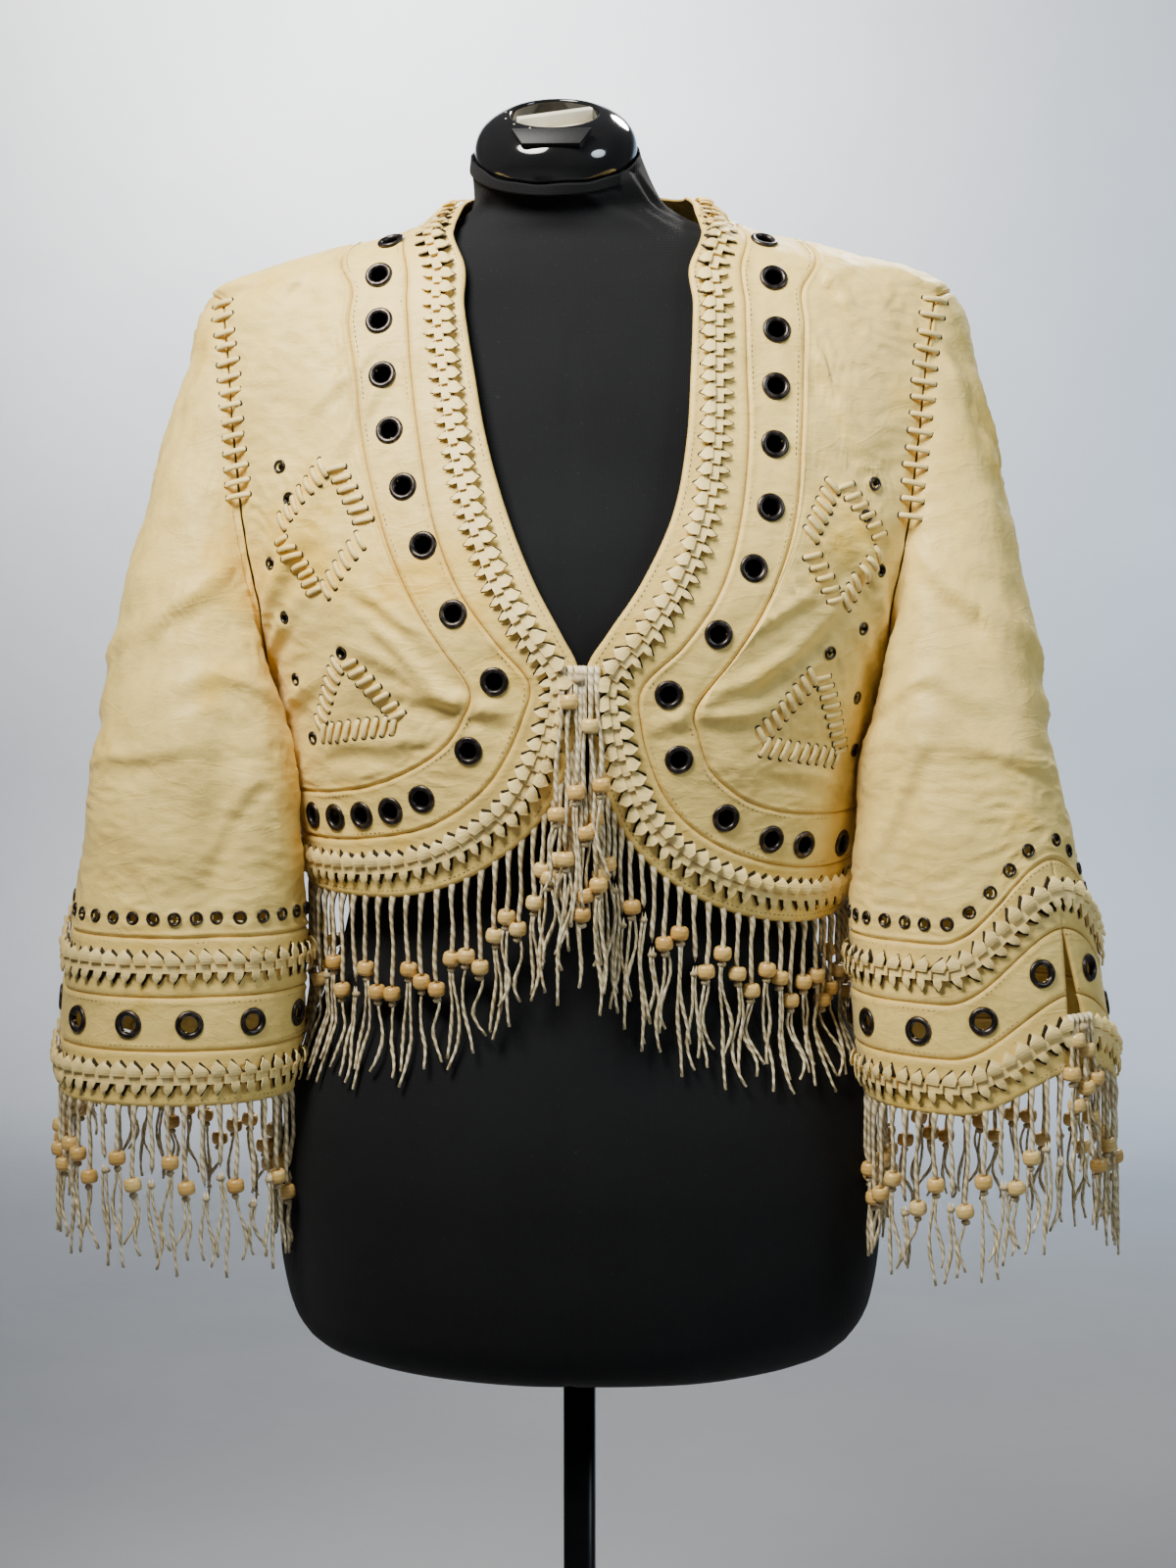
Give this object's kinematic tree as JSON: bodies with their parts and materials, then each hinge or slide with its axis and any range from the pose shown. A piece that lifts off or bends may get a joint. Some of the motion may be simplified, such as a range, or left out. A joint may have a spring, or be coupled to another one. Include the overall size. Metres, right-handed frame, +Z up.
{
  "type": "bolero jacket on a dress form",
  "caption": "Cropped open-front leather jacket with braided edges, eyelet bands, laced outlines and beaded fringe, worn by a limbless padded dress form on a pole stand.",
  "frame": {"origin": "underside of the stand's base, at its centre, on the floor", "axes": "+Z up along the pole, -Y towards the front opening of the jacket, +X to the right of someone looking at the front"},
  "size_m": [0.6122, 0.38, 1.318],
  "materials": {
    "leather": "soft cream lambskin with yellow patches, darker at the seams",
    "braid": "slit and folded leather chain, matt",
    "thong": "thin twisted thongs, matt, greyer than the panels",
    "jersey": "black ribless jersey, matt",
    "cap": "polished black",
    "dial": "cream, slightly glossy",
    "pole": "satin black",
    "base": "satin black"
  },
  "bodies": {
    "root": {"back_panel": "leather", "braid_hem": "braid", "braid_l": "braid", "braid_neck": "braid", "braid_r": "braid", "cuff_braid_lower_l": "braid", "cuff_braid_lower_r": "braid", "cuff_braid_upper_l": "braid", "cuff_braid_upper_r": "braid", "cuff_eyelet_one_l": "leather", "cuff_eyelet_one_r": "leather", "cuff_eyelet_two_l": "leather", "cuff_eyelet_two_r": "leather", "cuff_lower_l": "leather", "cuff_lower_r": "leather", "cuff_upper_l": "leather", "cuff_upper_r": "leather", "edge_band_hem": "leather", "edge_band_l": "leather", "edge_band_neck": "leather", "edge_band_r": "leather", "eyelet_band_hem": "leather", "eyelet_band_l": "leather", "eyelet_band_neck": "leather", "eyelet_band_r": "leather", "form_torso": "jersey", "fringe_back": "thong", "fringe_cuff_l": "thong", "fringe_cuff_r": "thong", "fringe_front_l": "thong", "fringe_front_r": "thong", "front_panel_l": "leather", "front_panel_r": "leather", "front_tie": "thong", "neck_cap": "cap", "neck_dial": "dial", "pole": "pole", "sleeve_lower_l": "leather", "sleeve_lower_r": "leather", "sleeve_upper_l": "leather", "sleeve_upper_r": "leather", "stand_base": "base", "vent_tie_l": "thong", "vent_tie_r": "thong"}
  },
  "joints": []
}
